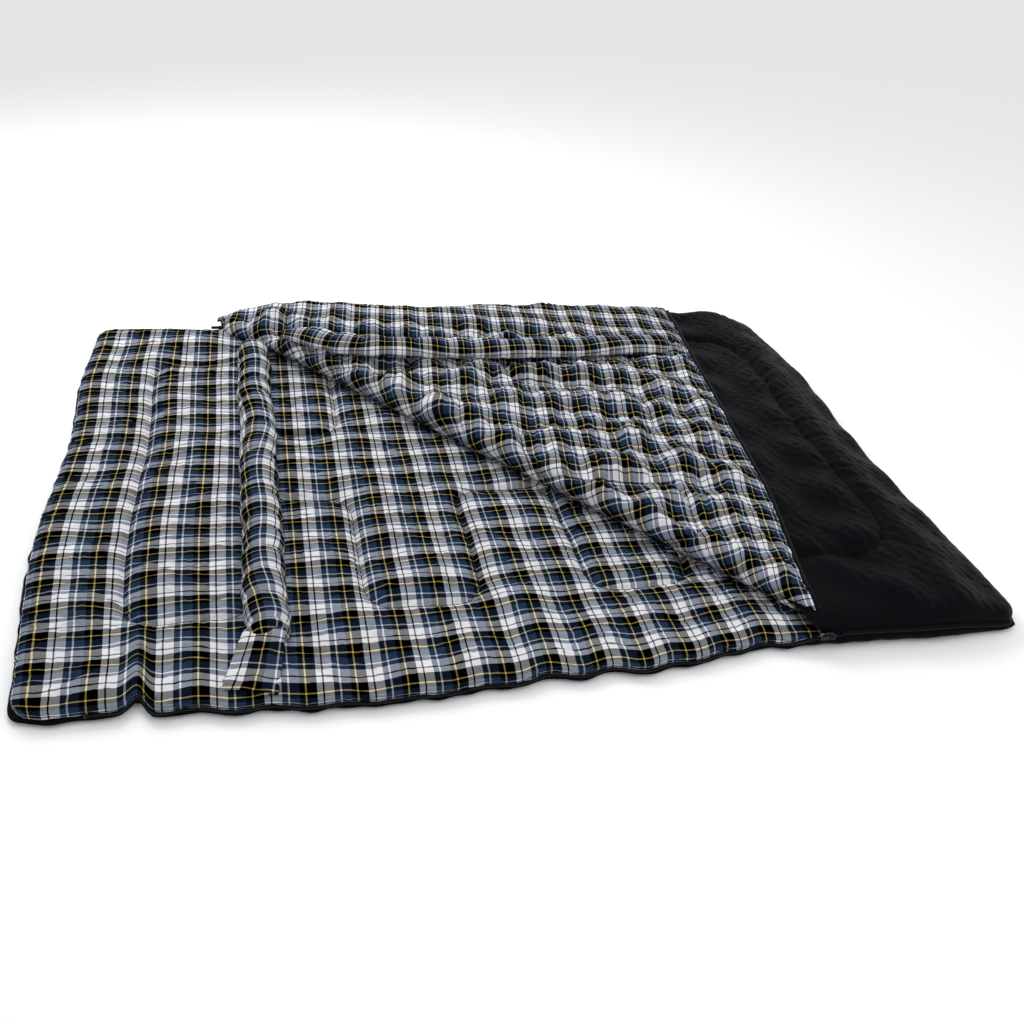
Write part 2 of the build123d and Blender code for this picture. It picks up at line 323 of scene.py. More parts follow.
BOTTOM_STITCHES = [head_track(), wave_row(-1), wave_row(1)]
TOP_STITCHES = [head_track(), wave_row(-1), wave_row(1), foot_track()]


# ---------------------------------------------------------------------------------------------------------
# Meshes from grids
# ---------------------------------------------------------------------------------------------------------
def smooth_step(t):
    t = np.clip(t, 0, 1)
    return t * t * (3 - 2 * t)


def cut_grid(x_low, x_high, y_low, y_high, size):
    """Cut coordinates of a grid, columns along X and rows along Y."""
    columns = int(round((x_high - x_low) / size)) + 1
    rows = int(round((y_high - y_low) / size)) + 1
    return np.meshgrid(np.linspace(x_low, x_high, columns), np.linspace(y_low, y_high, rows), indexing="ij")


def snap_to_stitches(X, Y, lines, size):
    """Moves the grid points nearest to the quilting lines onto them, and measures each distance."""
    tree = kdtree.KDTree(sum(len(line) for line in lines))
    index = 0
    for line in lines:
        for point in line:
            tree.insert((point[0], point[1], 0), index)
            index += 1
    tree.balance()
    flat = np.stack([X.ravel(), Y.ravel()], axis=1)
    distance = np.empty(len(flat))
    nearest = np.empty_like(flat)
    for i, point in enumerate(flat):
        found, _, distance[i] = tree.find((point[0], point[1], 0))
        nearest[i] = found[0], found[1]
    on_line = distance < 0.62 * size
    flat[on_line] = nearest[on_line]
    distance[on_line] = 0
    return flat[:, 0].reshape(X.shape), flat[:, 1].reshape(X.shape), distance.reshape(X.shape)


def grid_faces(shape, keep=None, flip=False):
    index = np.arange(shape[0] * shape[1]).reshape(shape)
    quads = np.stack([index[:-1, :-1], index[1:, :-1], index[1:, 1:], index[:-1, 1:]], axis=-1)
    if keep is not None:
        whole = keep[:-1, :-1] & keep[1:, :-1] & keep[1:, 1:] & keep[:-1, 1:]
        quads = quads[whole]
    quads = quads.reshape(-1, 4)
    return quads[:, ::-1] if flip else quads


def mesh_object(name, points, faces, cut, material):
    """A mesh object with smooth shading whose UV map holds its cut coordinates in metres."""
    used = np.unique(faces)
    renumber = np.full(len(points), -1)
    renumber[used] = np.arange(len(used))
    faces = renumber[faces]
    points, cut = points[used], cut[used]
    mesh = bpy.data.meshes.new(name)
    size = faces.shape[1]
    mesh.vertices.add(len(points))
    mesh.vertices.foreach_set("co", points.astype(np.float32).ravel())
    mesh.loops.add(faces.size)
    mesh.loops.foreach_set("vertex_index", faces.ravel().astype(np.int32))
    mesh.polygons.add(len(faces))
    mesh.polygons.foreach_set("loop_start", np.arange(len(faces), dtype=np.int32) * size)
    mesh.polygons.foreach_set("loop_total", np.full(len(faces), size, np.int32))
    mesh.update(calc_edges=True)
    mesh.validate()
    layer = mesh.uv_layers.new(name="cut")
    layer.data.foreach_set("uv", cut[faces.ravel()][:, :2].astype(np.float32).ravel())
    mesh.polygons.foreach_set("use_smooth", np.ones(len(faces), bool))
    mesh.materials.append(material)
    obj = bpy.data.objects.new(name, mesh)
    bpy.context.scene.collection.objects.link(obj)
    return obj, used


def vertex_array(mesh):
    points = np.zeros(len(mesh.vertices) * 3, np.float32)
    mesh.vertices.foreach_get("co", points)
    return points.reshape(-1, 3).astype(float)


def vertex_cut(mesh):
    """Each vertex's cut coordinates."""
    corners = np.zeros(len(mesh.loops), np.int32)
    mesh.loops.foreach_get("vertex_index", corners)
    uv = np.zeros(len(mesh.loops) * 2, np.float32)
    mesh.uv_layers["cut"].data.foreach_get("uv", uv)
    cut = np.zeros((len(mesh.vertices), 2))
    cut[corners] = uv.reshape(-1, 2)
    return cut


def vertex_normals(mesh):
    normals = np.zeros(len(mesh.vertices) * 3, np.float32)
    mesh.vertex_normals.foreach_get("vector", normals)
    return normals.reshape(-1, 3)


def point_list(*coordinates):
    """One row per point from arrays of its coordinates."""
    return np.stack(coordinates, axis=-1).reshape(-1, len(coordinates))


def settle_cloth(obj, rest, pinned, pressure, frames, tension=30.0, bending=0.05, mass=0.12, quality=5):
    """Runs Blender's cloth on obj. rest is its cut size, larger than where it lies, so it puckers."""
    obj.shape_key_add(name="Basis")
    cut_key = obj.shape_key_add(name="cut_size")
    cut_key.data.foreach_set("co", rest.astype(np.float32).ravel())
    cut_key.value = 0.0
    group = obj.vertex_groups.new(name="held")
    group.add([int(i) for i in np.flatnonzero(pinned)], 1.0, "REPLACE")
    modifier = obj.modifiers.new("settle", "CLOTH")
    settings = modifier.settings
    settings.rest_shape_key = cut_key
    settings.vertex_group_mass = "held"
    settings.quality = quality
    settings.mass = mass
    settings.tension_stiffness = tension
    settings.compression_stiffness = tension
    settings.shear_stiffness = tension / 3
    settings.bending_stiffness = bending
    settings.tension_damping = 8
    settings.compression_damping = 8
    settings.air_damping = 2.0
    settings.use_pressure = True
    settings.uniform_pressure_force = pressure
    settings.effector_weights.gravity = 0
    modifier.point_cache.frame_start = 1
    modifier.point_cache.frame_end = frames
    scene = bpy.context.scene
    for number in range(1, frames + 1):
        scene.frame_set(number)
    evaluated = obj.evaluated_get(bpy.context.evaluated_depsgraph_get())
    mesh = evaluated.to_mesh()
    points = vertex_array(mesh)
    evaluated.to_mesh_clear()
    obj.modifiers.remove(modifier)
    obj.shape_key_clear()
    obj.vertex_groups.clear()
    scene.frame_set(1)
    return points


def set_points(obj, points):
    obj.data.vertices.foreach_set("co", points.astype(np.float32).ravel())
    obj.data.update()


def subdivide(obj, levels=1):
    modifier = obj.modifiers.new("finer", "SUBSURF")
    modifier.levels = levels
    modifier.render_levels = levels
    modifier.uv_smooth = "PRESERVE_BOUNDARIES"
    evaluated = obj.evaluated_get(bpy.context.evaluated_depsgraph_get())
    finer = bpy.data.meshes.new_from_object(evaluated)
    obj.modifiers.remove(modifier)
    old = obj.data
    obj.data = finer
    bpy.data.meshes.remove(old)


def soft_cap(offset, up, down):
    """Keeps an offset within up and -down, bending it over smoothly."""
    return np.where(offset > 0, up * np.tanh(offset / up), -down * np.tanh(-offset / down))


def waves(x, y, seed, count, wavelength, direction=None, spread=math.pi):
    """A seeded sum of sine waves of about one wavelength, in a direction or all round."""
    rng = np.random.default_rng(seed)
    total = np.zeros_like(x)
    for _ in range(count):
        angle = rng.uniform(-spread, spread) + (direction or 0.0)
        number = 2 * math.pi / (wavelength * rng.uniform(0.75, 1.35))
        total += np.sin(number * (x * math.cos(angle) + y * math.sin(angle)) + rng.uniform(0, 2 * math.pi))
    return total / math.sqrt(count)


def wrinkle(obj, height, seed, across=0.020):
    """Presses fine creases into a finished liner, in patches, mostly along X, about 20 mm apart."""
    mesh = obj.data
    points = vertex_array(mesh)
    x, y = vertex_cut(mesh).T
    patches = smooth_step(0.5 + 0.5 * waves(x, y, seed, 6, 0.13))
    creases = waves(x, y, seed + 1, 9, across, direction=math.pi / 2, spread=0.45)
    folds = waves(x, y, seed + 2, 7, 0.026, direction=0.0, spread=0.6)
    bend = height * (patches * creases + 0.5 * (1 - patches) * folds)
    set_points(obj, points + vertex_normals(mesh) * bend[:, None])


def placed(points):
    """From the bag's own middle to the frame."""
    return points + CENTRE


# ---------------------------------------------------------------------------------------------------------
# Bottom layer
# ---------------------------------------------------------------------------------------------------------
CORNER = 0.05  # radius of the corners in plan
SIDE_WRAP = 0.080  # cloth that goes up a puffed side, and how far in from the hem it then is
SIDE_INSET = 0.056
EDGE_PUFF = 0.008
CLOSED_HEM_Z = 0.040
FOOT_DROP = 0.018  # the layers thin out towards the foot seam
ZIP_OPEN_X = (0.500, 0.640)  # over this stretch the near hem rises to the closed zip
LINER_EASE = (1.035, 1.075)  # cut size over the size it lies at, along and across


def hump(value, middle, width):
    return np.exp(-(((value - middle) / width) ** 2))


def edge_bulge(x, y):
    """How far the layers spread past their cut outline at the head, along the open zip and at the foot."""
    head = -0.042 * hump(y, -0.30, 0.42) - 0.028 * hump(y, 0.55, 0.30)
    head *= smooth_step((-x - 0.55) / 0.6)
    foot = 0.042 * hump(y, 0.48, 0.36) + 0.008 * hump(y, -0.62, 0.15)
    foot *= smooth_step((x - 0.55) / 0.6)
    right = -0.046 * hump(x, -0.42, 0.42) - 0.020 * hump(x, 0.20, 0.16) + 0.014 * hump(x, 0.46, 0.10)
    right += 0.045 * hump(x, -0.912, 0.020) - 0.012 * hump(x, 0.92, 0.16)
    right += 0.006 * waves(x, 0 * y, 3, 5, 0.16, 0.0, 0.1) * smooth_step((0.60 - x) / 0.2)
    right *= smooth_step((-y - 0.55) / 0.33)
    left = 0.016 * smooth_step((-x - 0.70) / 0.2) * smooth_step((y - 0.55) / 0.33)
    return head + foot, right + left


def round_corner(x, y):
    """Draws the corners of the rectangle in to a radius."""
    a = np.clip((np.abs(x) - (HALF_LENGTH - CORNER)) / CORNER, 0, 1)
    b = np.clip((np.abs(y) - (HALF_WIDTH - CORNER)) / CORNER, 0, 1)
    new_a, new_b = a * np.sqrt(1 - b * b / 2), b * np.sqrt(1 - a * a / 2)
    new_x = np.where(a > 0, np.sign(x) * (HALF_LENGTH - CORNER + CORNER * new_a), x)
    new_y = np.where(b > 0, np.sign(y) * (HALF_WIDTH - CORNER + CORNER * new_b), y)
    return new_x, new_y


def wrapped(value, half):
    """A cut coordinate's place across a puffed layer of that half width, and how far up its side it is."""
    distance = half - np.abs(value)
    turn = np.clip(distance / SIDE_WRAP, 0, 1)
    inset = SIDE_INSET * (1 - np.cos(turn * math.pi / 2)) - EDGE_PUFF * np.sin(turn * math.pi)
    on_top = np.abs(value) * (half - SIDE_INSET) / (half - SIDE_WRAP)
    return np.sign(value) * np.where(turn < 1, half - inset, on_top), np.sin(turn * math.pi / 2)


def plan_and_rise(X, Y):
    """Plan position and side rise (0 at the hem, 1 on top) of a flat layer's cut coordinates."""
    x, rise_x = wrapped(X, HALF_LENGTH)
    y, rise_y = wrapped(Y, HALF_WIDTH)
    x, y = round_corner(x, y)
    bulge_x, bulge_y = edge_bulge(x, y)
    return x + bulge_x, y + bulge_y, rise_x * rise_y


def hem_height(x, y):
    """The hem lies low where a zip is open, rises to it where it is closed, and comes down at the foot."""
    right = smooth_step((x - ZIP_OPEN_X[0]) / (ZIP_OPEN_X[1] - ZIP_OPEN_X[0]))
    left = smooth_step((x + 0.80) / 0.08) * smooth_step(y / 0.3)
    closed = CLOSED_HEM_Z - FOOT_DROP * smooth_step((x - 0.93) / 0.20)
    return HEM_Z + (closed - HEM_Z) * np.maximum(right, left)


def edges_of(shape):
    edge = np.zeros(shape, bool)
    edge[[0, -1], :] = True
    edge[:, [0, -1]] = True
    return edge


def simulate(obj, base, rest, held, normal, pressure, up, down, aside=0.010, **cloth):
    """Settles obj from base and keeps what moved within up, down and aside of where it started."""
    points = settle_cloth(obj, rest, held, pressure=pressure, frames=20, **cloth)
    move = points - base
    height = np.sum(move * normal, axis=1, keepdims=True)
    across = move - height * normal
    size = np.linalg.norm(across, axis=1, keepdims=True) + 1e-9
    across *= aside * np.tanh(size / aside) / size
    return base + across + soft_cap(height, up, down) * normal


def bottom_liner():
    X, Y = cut_grid(-HALF_LENGTH, HALF_LENGTH, -HALF_WIDTH, HALF_WIDTH, cell)
    X, Y, distance = snap_to_stitches(X, Y, BOTTOM_STITCHES, cell)
    x, y, rise = plan_and_rise(X, Y)
    hem = hem_height(x, y)
    sunk = 0.016 * np.exp(-distance / 0.012) + 0.006 * np.exp(-distance / 0.05)
    z = hem + (BOTTOM_TOP + 0.004 - hem) * rise - sunk * rise
    z += 0.0016 * waves(X, Y, 5, 9, 0.036, direction=math.pi / 2, spread=0.5) * rise
    z += 0.0040 * waves(X, Y, 6, 7, 0.19) * rise
    z += 0.012 * smooth_step((Y - 0.68) / 0.12) * smooth_step((-X - 0.60) / 0.2) * rise
    base = point_list(x, y, z)
    cut = point_list(X, Y)
    obj, _ = mesh_object("bottom_plaid_liner", base, grid_faces(X.shape), cut, FLANNEL)
    held = ((distance == 0) | edges_of(X.shape)).ravel()
    rest = point_list(X * LINER_EASE[0], Y * LINER_EASE[1], 0 * X)
    points = simulate(obj, base, rest, held, np.array([0, 0, 1.0]), 0.25, up=0.020, down=0.010)
    set_points(obj, placed(points))
    return obj


def bottom_shell():
    """The black underside: rolls out under the hem, round and down on to the floor."""
    X, Y = cut_grid(-HALF_LENGTH, HALF_LENGTH, -HALF_WIDTH, HALF_WIDTH, 0.012)
    x, y, _ = plan_and_rise(X, Y)
    hem = hem_height(x, y)
    inward = np.minimum(HALF_LENGTH - np.abs(X), HALF_WIDTH - np.abs(Y))
    turn = np.clip(inward / 0.060, 0, 1) * math.pi
    out = 0.010 * np.sin(turn) + 0.003 * waves(X, Y, 31, 6, 0.07) * np.sin(turn)
    to_edge_x = smooth_step((np.abs(X) - HALF_LENGTH + 0.12) / 0.12)
    to_edge_y = smooth_step((np.abs(Y) - HALF_WIDTH + 0.12) / 0.12)
    x = x + np.sign(X) * out * to_edge_x
    y = y + np.sign(Y) * out * to_edge_y
    z = hem * (0.5 + 0.5 * np.cos(turn)) - 0.001
    z += 0.0015 * (1 + waves(X, Y, 32, 6, 0.10) / 3) * np.sin(turn / 2) ** 2
    base = point_list(x, y, np.maximum(z, 0.0))
    cut = point_list(X, Y)
    return mesh_object("bottom_black_shell", placed(base), grid_faces(X.shape, flip=True), cut, POLYESTER)[0]


# ---------------------------------------------------------------------------------------------------------
# Top layer: black over the feet, folded on the slanting line, liner up on the flap
# ---------------------------------------------------------------------------------------------------------
FLAP_HEAD_X = -1.100
FOLD_RADIUS = 0.043  # outside of the fold's roll
FOLD_HALF = FOLD_RADIUS * math.pi / 2
FOLD_SETBACK = 0.030  # the roll's middle, in from the hinge line
FOLD_Z = 0.091
FOLD_DRAWN = 0.055  # how far the fold's foot end is pulled in along it
HEAD_END_DROP = 0.034  # how much lower its head end lies
FLOOR_CLEARANCE = 0.016
CREASE_Z = (0.085, 0.0945)
ROLL_HALF = 0.085  # the stretch of cloth each side of the fold that bends with it
FLAP_GATHER = 0.925  # the flap is gathered across the fold and skewed along it
FLAP_SKEW = 0.118
FLAP_THICK = 0.040
DROOP_RADIUS = 0.085  # the flap's margin goes down behind the far edge
DROOP_LENGTH = 0.160
DROOP_START_Y = (0.880, 0.832)
DROOP_TURN_X = (-0.50, -0.05)
FLAP_EASE = (1.06, 1.09)
FOOT_EASE = (1.05, 1.06)


def fold_coordinates(X, Y):
    """p runs along the fold from its head end, m is the distance from the fold, positive on the flap."""
    away_x, away_y = X - FOLD_POINT[0], Y - FOLD_POINT[1]
    p = away_x * FOLD_RUN[0] + away_y * FOLD_RUN[1]
    m = -(away_x * FOLD_SIDE[0] + away_y * FOLD_SIDE[1])
    return p, m


def folded(X, Y, depth=0.0):
    """Where the top layer's liner face lies, or the surface at a depth under it, and its outward normal."""
    p, m = fold_coordinates(X, Y)
    past = np.maximum(np.abs(m) - FOLD_HALF, 0)
    theta = np.clip(m / FOLD_RADIUS, -math.pi / 2, math.pi / 2)
    on_flap = m > FOLD_HALF
    reach = np.where(on_flap, past * FLAP_GATHER, past)
    along = np.where(on_flap, p - FLAP_SKEW * past, p)
    along -= FOLD_DRAWN * smooth_step((-Y - 0.60) / 0.275) * smooth_step((0.45 - np.abs(m)) / 0.45)
    side = FOLD_SETBACK + reach - (FOLD_RADIUS - depth) * np.cos(theta)
    z = FOLD_Z + (FOLD_RADIUS - depth) * np.sin(theta)
    x = FOLD_POINT[0] + FOLD_RUN[0] * along + FOLD_SIDE[0] * side
    y = FOLD_POINT[1] + FOLD_RUN[1] * along + FOLD_SIDE[1] * side
    normal = np.stack(
        [-FOLD_SIDE[0] * np.cos(theta), -FOLD_SIDE[1] * np.cos(theta), np.sin(theta)], axis=-1
    )
    turn = smooth_step((x - DROOP_TURN_X[0]) / (DROOP_TURN_X[1] - DROOP_TURN_X[0]))
    start = DROOP_START_Y[0] + (DROOP_START_Y[1] - DROOP_START_Y[0]) * turn
    over = np.where(m > 0, np.maximum(y - start, 0), 0)
    bend = np.minimum(over / DROOP_RADIUS, math.pi / 2)
    hang = np.maximum(over - DROOP_RADIUS * math.pi / 2, 0)
    droops = over > 0
    radius = DROOP_RADIUS - depth
    y = np.where(droops, start + radius * np.sin(bend), y)
    z = np.where(droops, z - DROOP_RADIUS + depth + radius * np.cos(bend) - hang, z)
    z = z - HEAD_END_DROP * smooth_step((-0.56 - x) / 0.17) * smooth_step((m + 0.09) / 0.06)
    z = np.maximum(z, FLOOR_CLEARANCE)
    droop_normal = np.stack([0 * x, np.sin(bend), np.cos(bend)], axis=-1)
    normal = np.where(droops[..., None], droop_normal, normal)
    return np.stack([x, y, z], axis=-1), normal, over


def flap_roll_y(x):
    """The flap roll's middle line: it sags a little towards the sleeper between its ends."""
    share = (x - 0.03) / 0.67
    return 0.478 - 0.036 * share + 0.048 * share ** 2 + 0.075 * smooth_step((-0.30 - x) / 0.27)


def top_rise(X, Y, wrap=0.085):
    edge = np.minimum(np.minimum(X - FLAP_HEAD_X, HALF_LENGTH - X), HALF_WIDTH - np.abs(Y))
    return np.sin(np.clip(edge / wrap, 0, 1) * math.pi / 2)


def top_liner():
    """The top layer's plaid face: round the fold and over the flap, with the droop behind the far edge."""
    X, Y = cut_grid(FLAP_HEAD_X, HALF_LENGTH, -HALF_WIDTH, HALF_WIDTH, cell)
    X, Y, distance = snap_to_stitches(X, Y, TOP_STITCHES, cell)
    _, m = fold_coordinates(X, Y)
    surface, normal, over = folded(X, Y)
    rise = top_rise(X, Y)
    turn = smooth_step((m + 0.06) / 0.12)
    relief = 0.0110 * waves(X, Y, 41, 8, 0.15) + 0.0030 * waves(X, Y, 42, 9, 0.045)
    relief -= 0.018 * np.exp(-distance / 0.014) + 0.007 * np.exp(-distance / 0.05)
    calm = smooth_step((X + 0.86) / 0.12)
    relief = np.clip(relief * 1.15, -0.023, 0.026) * (0.30 + 0.70 * calm) * rise * turn
    beside = np.abs(surface[..., 1] - flap_roll_y(surface[..., 0])) - 0.052
    relief -= 0.014 * np.exp(-((beside / 0.024) ** 2)) * rise * (m > 0)
    relief -= (1 - rise) * 0.019 * turn
    surface[..., 1] -= np.sign(Y) * 0.045 * (1 - rise) * smooth_step(-m / 0.04)
    base = (surface + normal * relief[..., None]).reshape(-1, 3)
    cut = point_list(X, Y)
    keep = (m > -ROLL_HALF - 0.02) & (over < DROOP_LENGTH)
    obj, used = mesh_object("top_plaid_liner", base, grid_faces(X.shape, keep), cut, FLANNEL)
    held = (distance == 0) | edges_of(X.shape) | (m < -ROLL_HALF)
    rest = point_list(X * FLAP_EASE[0], Y * FLAP_EASE[1], 0 * X)
    base, rest, held = base[used], rest[used], held.ravel()[used]
    normal = normal.reshape(-1, 3)[used]
    points = simulate(obj, base, rest, held, normal, 0.34, up=0.028, down=0.008, aside=0.014)
    points = base + (points - base) * (0.35 + 0.65 * calm.ravel()[used])[:, None]
    set_points(obj, placed(points))
    return obj


def top_shell_foot():
    """The black face over the feet, as far as the crease under the flap."""
    X, Y = cut_grid(FLAP_HEAD_X, HALF_LENGTH, -HALF_WIDTH, HALF_WIDTH, cell)
    X, Y, distance = snap_to_stitches(X, Y, [foot_track()], cell)
    _, m = fold_coordinates(X, Y)
    x, y, rise = plan_and_rise(X, Y)
    showing = smooth_step((-m - 0.10) / 0.12) * smooth_step((X - 0.30) / 0.2)
    hem = hem_height(np.maximum(x, ZIP_OPEN_X[1]), y) + 0.008
    relief = 0.0060 * waves(X, Y, 51, 8, 0.16) + 0.0016 * waves(X, Y, 52, 9, 0.030)
    relief -= 0.014 * np.exp(-distance / 0.014) + 0.007 * np.exp(-distance / 0.06)
    around = np.arctan2(Y, X - 0.45) * 0.45
    relief += 0.0034 * waves(around, 0 * X, 53, 6, 0.030) * np.exp(-distance / 0.050)
    height = TOP_TOP - 0.002 - hem + 0.014 * showing
    height *= 0.24 + 0.76 * smooth_step((HALF_LENGTH - X) / 0.19)
    z = hem + height * rise + relief * rise * showing
    base = point_list(x, y, z)
    cut = point_list(X, Y)
    keep = m < -FOLD_SETBACK + cell + 0.060 * smooth_step((-Y - 0.60) / 0.275)
    obj, used = mesh_object("top_black_shell_foot", base, grid_faces(X.shape, keep), cut, POLYESTER)
    held = (distance == 0) | edges_of(X.shape) | (m > -0.10)
    rest = point_list(X * FOOT_EASE[0], Y * FOOT_EASE[1], 0 * X)
    base, rest, held = base[used], rest[used], held.ravel()[used]
    points = simulate(
        obj, base, rest, held, np.array([0, 0, 1.0]), 0.20, up=0.018, down=0.010, bending=0.02
    )
    hidden = (1 - showing.ravel()[used])[:, None]
    points = points + (base - points) * hidden
    set_points(obj, placed(points))
    return obj


def top_liner_foot():
    """The plaid underside over the feet, from the fold roll's lower edge to the foot seam."""
    X, Y = cut_grid(FLAP_HEAD_X, HALF_LENGTH, -HALF_WIDTH, HALF_WIDTH, 0.024)
    _, m = fold_coordinates(X, Y)
    x, y, rise = plan_and_rise(X, Y)
    z = FOLD_Z - FOLD_RADIUS + 0.002 - 0.006 * (1 - rise)
    z -= FOOT_DROP * smooth_step((X - 0.90) / 0.20)
    inset = 0.030 * (1 - rise)
    base = point_list(x - np.sign(X) * inset, y - np.sign(Y) * inset, z)
    cut = point_list(X, Y)
    return mesh_object(
        "top_plaid_liner_foot", placed(base), grid_faces(X.shape, m < 0.01, flip=True), cut, FLANNEL
    )[0]


def crease_shell():
    """The black cloth deep in the crease, from the shell over the feet to the flap's shell."""
    P, T = np.meshgrid(np.arange(-1.08, 1.02, 0.012), np.linspace(0, 1, 9), indexing="ij")
    side = 0.034 - 0.008 * np.sin(math.pi * T)
    x = FOLD_POINT[0] + FOLD_RUN[0] * P + FOLD_SIDE[0] * side
    y = FOLD_POINT[1] + FOLD_RUN[1] * P + FOLD_SIDE[1] * side
    z = CREASE_Z[0] + (CREASE_Z[1] - CREASE_Z[0]) * T
    base = point_list(x, y, z)
    cut = point_list(P, 0.02 * T)
    return mesh_object("crease_black_shell", placed(base), grid_faces(P.shape), cut, POLYESTER)[0]


def flap_shell():
    """The flap's black face, lying on the layer below it."""
    X, Y = cut_grid(FLAP_HEAD_X, HALF_LENGTH, -HALF_WIDTH, HALF_WIDTH, 0.012)
    _, m = fold_coordinates(X, Y)
    surface, normal, over = folded(X, Y, depth=FLAP_THICK)
    rise = top_rise(X, Y)
    relief = -(1 - rise) * 0.019 * smooth_step(m / 0.06) + 0.0012 * waves(X, Y, 61, 8, 0.06) * rise
    base = (surface - normal * relief[..., None]).reshape(-1, 3)
    cut = point_list(X, Y)
    keep = (m > 0.0) & (over < DROOP_LENGTH)
    faces = grid_faces(X.shape, keep, flip=True)
    return mesh_object("flap_black_shell", placed(base), faces, cut, POLYESTER)[0]


# ---------------------------------------------------------------------------------------------------------
# Neck rolls
# ---------------------------------------------------------------------------------------------------------
def tube(name, path, width, height, base_z, cut_start, cut_end, seed, taper=(0.05, 0.05)):
    """A stuffed tube sewn down along a path: gathered into uneven segments every few centimetres."""
    rng = np.random.default_rng(seed)
    path = np.array(path)
    places = np.concatenate([[0], np.cumsum(np.linalg.norm(np.diff(path, axis=0), axis=1))])
    length = places[-1]
    rows = int(length / (0.0045))
    around = 64
    s = np.linspace(0, length, rows)
    middle = np.stack([np.interp(s, places, path[:, k]) for k in (0, 1)], axis=1)
    run = np.gradient(middle, axis=0)
    run /= np.linalg.norm(run, axis=1, keepdims=True)
    pinches = np.cumsum(rng.uniform(0.060, 0.105, int(length / 0.060)))
    pinches = pinches[pinches < length - 0.02]
    depth = rng.uniform(0.05, 0.20, len(pinches))
    lean = rng.uniform(-0.30, 0.30, len(pinches))
    v = np.linspace(0, 2 * math.pi, around)
    S, V = np.meshgrid(s, v, indexing="ij")
    girth = np.ones_like(S)
    for place, deep, slant in zip(pinches, depth, lean):
        offset = S - place - slant * width * 0.5 * np.cos(V)
        girth -= deep * np.exp(-np.abs(offset) / 0.011)
    unevenness = 0.05 * waves(S, V * 0.02, seed + 1, 6, 0.12)
    unevenness += 0.012 * waves(S, V * 0.03, seed + 2, 8, 0.026)
    girth *= 1 + unevenness
    ends = smooth_step(S / taper[0]) * smooth_step((length - S) / taper[1])
    girth *= 0.35 + 0.65 * np.sqrt(ends)
    wander = 0.002 * waves(S, 0 * S, seed + 3, 4, 0.35)
    side = wander + width / 2 * girth * np.cos(V) * (1 + 0.10 * np.sin(V))
    up = np.where(np.sin(V) > 0, height * girth, height * 0.16) * np.sin(V)
    x = middle[:, :1] - run[:, 1:] * side
    y = middle[:, 1:] + run[:, :1] * side
    z = base_z + height * 0.10 + up
    cut_start, cut_end = np.array(cut_start), np.array(cut_end)
    cut_run = (cut_end - cut_start) / length
    cut_across = np.array([-cut_run[1], cut_run[0]])
    arc = (V - math.pi / 2) * (width + height) * 0.32 + 0.010 * waves(S, 0 * V, seed + 4, 3, 0.3)
    cut_x = cut_start[0] + cut_run[0] * S + cut_across[0] * arc
    cut_y = cut_start[1] + cut_run[1] * S + cut_across[1] * arc
    base = point_list(x, y, z)
    cut = point_list(cut_x, cut_y)
    return mesh_object(name, placed(base), grid_faces(S.shape, flip=True), cut, FLANNEL)[0]


def bottom_neck_roll():
    return tube(
        "bottom_plaid_neck_roll", [(-0.656, -0.770), (-0.664, 0.720)], 0.102, 0.055, 0.034,
        (-0.70, -0.77), (-0.70, 0.72), seed=71, taper=(0.05, 0.04),
    )


def neck_roll_tab():
    """The roll's flat end: a tab that turns a little and comes down on to the liner."""
    along = np.linspace(0, 1, 40)
    over = np.linspace(-1, 1, 28)
    S, V = np.meshgrid(along, over, indexing="ij")
    lean = math.radians(-104)
    run = np.array([math.cos(lean), math.sin(lean)])
    across = np.array([-run[1], run[0]])
    half = 0.046 + 0.015 * S
    length = 0.160
    x = -0.658 + run[0] * length * S + across[0] * V * half
    y = -0.728 + run[1] * length * S + across[1] * V * half
    z = BOTTOM_TOP + 0.034 - 0.031 * smooth_step(S * 1.1) + 0.007 * V * (1 - S)
    z += 0.0018 * waves(S * 0.12, V * 0.05, 81, 7, 0.028) + 0.007 * (1 - V ** 2) * (1 - 0.6 * S)
    top = np.stack([x, y, z], axis=-1)
    under = np.stack([x, y, z - 0.004 - 0.010 * (1 - V ** 2)], axis=-1)
    ring = np.concatenate([top, under[:, ::-1], top[:, :1]], axis=1)
    cut = np.stack([-0.665 - V * 0.050, -0.770 - S * 0.155], axis=-1)
    cut_ring = np.concatenate([cut, cut[:, ::-1], cut[:, :1]], axis=1)
    return mesh_object(
        "bottom_neck_roll_plaid_tab", placed(ring.reshape(-1, 3)), grid_faces(ring.shape[:2], flip=True),
        cut_ring.reshape(-1, 2), FLANNEL,
    )[0]


def flap_neck_roll():
    x = np.linspace(-0.570, 0.705, 60)
    return tube(
        "flap_plaid_neck_roll", point_list(x, flap_roll_y(x)), 0.108, 0.038, FLAP_TOP + 0.002,
        (-0.70, 0.63), (-0.70, -0.80), seed=91, taper=(0.14, 0.05),
    )


# ---------------------------------------------------------------------------------------------------------
# Quilting thread, zips and the foot binding
# ---------------------------------------------------------------------------------------------------------
THREAD_RADIUS = 0.0011
ZIP_HEAD_X = -0.985
ZIP_FOOT_X = 1.110
RIGHT_CLOSED_X = 0.640
LEFT_CLOSED_X = -0.755
ZIP_Z = 0.044
ZIP_OUT = 0.005
COIL_RADIUS = 0.0022


def tube_points(path, radius, sides=6):
    """Rings of points round a path, and their grid shape."""
    run = np.gradient(path, axis=0)
    run /= np.linalg.norm(run, axis=1, keepdims=True) + 1e-12
    side = np.cross(run, [0, 0, 1.0])
    side /= np.linalg.norm(side, axis=1, keepdims=True) + 1e-12
    lift = np.cross(side, run)
    angles = np.linspace(0, 2 * math.pi, sides + 1)
    rings = [path + radius * (math.cos(a) * side + math.sin(a) * lift) for a in angles]
    return np.stack(rings, axis=1)


